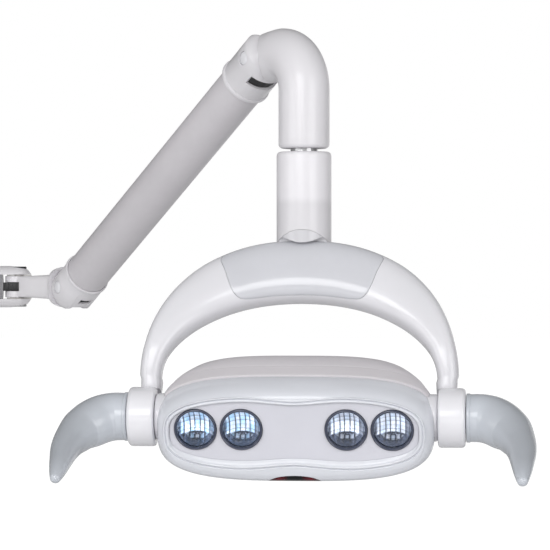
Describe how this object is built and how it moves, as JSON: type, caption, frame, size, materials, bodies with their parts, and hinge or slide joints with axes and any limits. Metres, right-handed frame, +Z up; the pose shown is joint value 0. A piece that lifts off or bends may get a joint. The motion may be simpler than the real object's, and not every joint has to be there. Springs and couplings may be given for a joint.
{
  "type": "dental operating light",
  "caption": "Dental operating light head on a curved yoke, hung from a spring-balanced arm with a gooseneck, an elbow link and a socket for a fixed arm.",
  "frame": {"origin": "centre of the flat end face of the fixed-arm socket's core", "axes": "+X along the fixed arm towards the lamp, -Y the way the lamp faces, +Z up"},
  "size_m": [0.6981, 0.6878, 0.4658],
  "materials": {
    "white_enamel": "satin white enamel",
    "grey_enamel": "satin grey enamel",
    "white_plastic": "glossy white moulding",
    "inlay_grey": "pale grey moulding",
    "grip_grey": "pale blue-grey moulding",
    "steel": "ground steel",
    "alloy": "cast aluminium",
    "black_polymer": "matt black",
    "bearing_polymer": "natural bearing polymer",
    "lamp_ring_navy": "dark navy",
    "reflector": "faceted mirror",
    "clear_cover": "clear",
    "sensor_window": "near-black with a red cast",
    "circuit_board": "solder mask"
  },
  "bodies": {
    "root": {"fixed_arm_socket": "white_enamel", "swing_pin": "steel", "swing_pin_cap": "black_polymer"},
    "elbow_link_body": {"elbow_link": "white_enamel", "swing_bush_upper": "bearing_polymer", "swing_bush_lower": "bearing_polymer", "brake_block": "black_polymer", "tilt_pin": "steel", "tie_pin_lower": "steel"},
    "spring_arm": {"arm_tube": "grey_enamel", "lower_collar": "white_plastic", "upper_collar": "white_plastic", "tilt_cap_near": "white_plastic", "tilt_cap_far": "white_plastic", "upper_cap_near": "white_plastic", "upper_cap_far": "white_plastic", "balance_spring": "steel", "spring_seat": "steel", "spring_rod": "steel", "spring_nut": "steel", "spring_anchor": "alloy"},
    "tie_rod_body": {"tie_rod": "steel"},
    "gooseneck": {"gooseneck_tube": "white_enamel", "knuckle_tongue": "alloy", "upper_pivot_pin": "steel", "tie_pin_upper": "steel", "swivel_bush": "bearing_polymer"},
    "yoke": {"swivel_spindle": "steel", "spindle_clip": "steel", "neck_sleeve": "white_enamel", "yoke_arch": "white_plastic", "yoke_cover": "inlay_grey", "hub_left": "white_plastic", "hub_right": "white_plastic", "hub_bush_left": "bearing_polymer", "hub_bush_right": "bearing_polymer"},
    "lamp_head": {"rear_shell": "white_plastic", "front_shell": "white_plastic", "face_panel": "white_plastic", "lamp_board": "circuit_board", "heat_sink": "alloy", "sensor_window": "sensor_window", "trunnion_left": "white_plastic", "trunnion_right": "white_plastic", "handle_left": "grip_grey", "handle_right": "grip_grey", "lamp_ring_1": "lamp_ring_navy", "lamp_ring_2": "lamp_ring_navy", "lamp_ring_3": "lamp_ring_navy", "lamp_ring_4": "lamp_ring_navy", "lamp_lens_1": "clear_cover", "lamp_lens_2": "clear_cover", "lamp_lens_3": "clear_cover", "lamp_lens_4": "clear_cover", "reflector_1": "reflector", "reflector_2": "reflector", "reflector_3": "reflector", "reflector_4": "reflector"}
  },
  "joints": [
    {"name": "elbow_swing", "type": "hinge", "parent": "root", "child": "elbow_link_body", "pos_m": [0.075, 0, 0], "axis": [0, 0, 1], "range_deg": [-35, 135]},
    {"name": "arm_tilt", "type": "hinge", "parent": "elbow_link_body", "child": "spring_arm", "pos_m": [0.16178, -0.10342, 0], "axis": [-0.766, -0.6428, 0], "range_deg": [-54, 11]},
    {"name": "tie_rod_tilt", "type": "hinge", "parent": "elbow_link_body", "child": "tie_rod_body", "pos_m": [0.16178, -0.10342, -0.013], "axis": [-0.766, -0.6428, 0], "range_deg": [-54, 11]},
    {"name": "gooseneck_level", "type": "hinge", "parent": "spring_arm", "child": "gooseneck", "pos_m": [0.41201, -0.40163, 0.24298], "axis": [-0.766, -0.6428, 0], "range_deg": [-11, 54]},
    {"name": "neck_swivel", "type": "hinge", "parent": "gooseneck", "child": "yoke", "pos_m": [0.45958, -0.45832, 0.152], "axis": [0, 0, 1], "range_deg": [-160, 160]},
    {"name": "head_tilt", "type": "hinge", "parent": "yoke", "child": "lamp_head", "pos_m": [0.45958, -0.54482, -0.1296], "axis": [1, 0, 0], "range_deg": [-45, 60]}
  ],
  "couplings": [
    {"joint": "gooseneck_level", "follows": "arm_tilt", "ratio": -1},
    {"joint": "tie_rod_tilt", "follows": "arm_tilt", "ratio": 1}
  ]
}
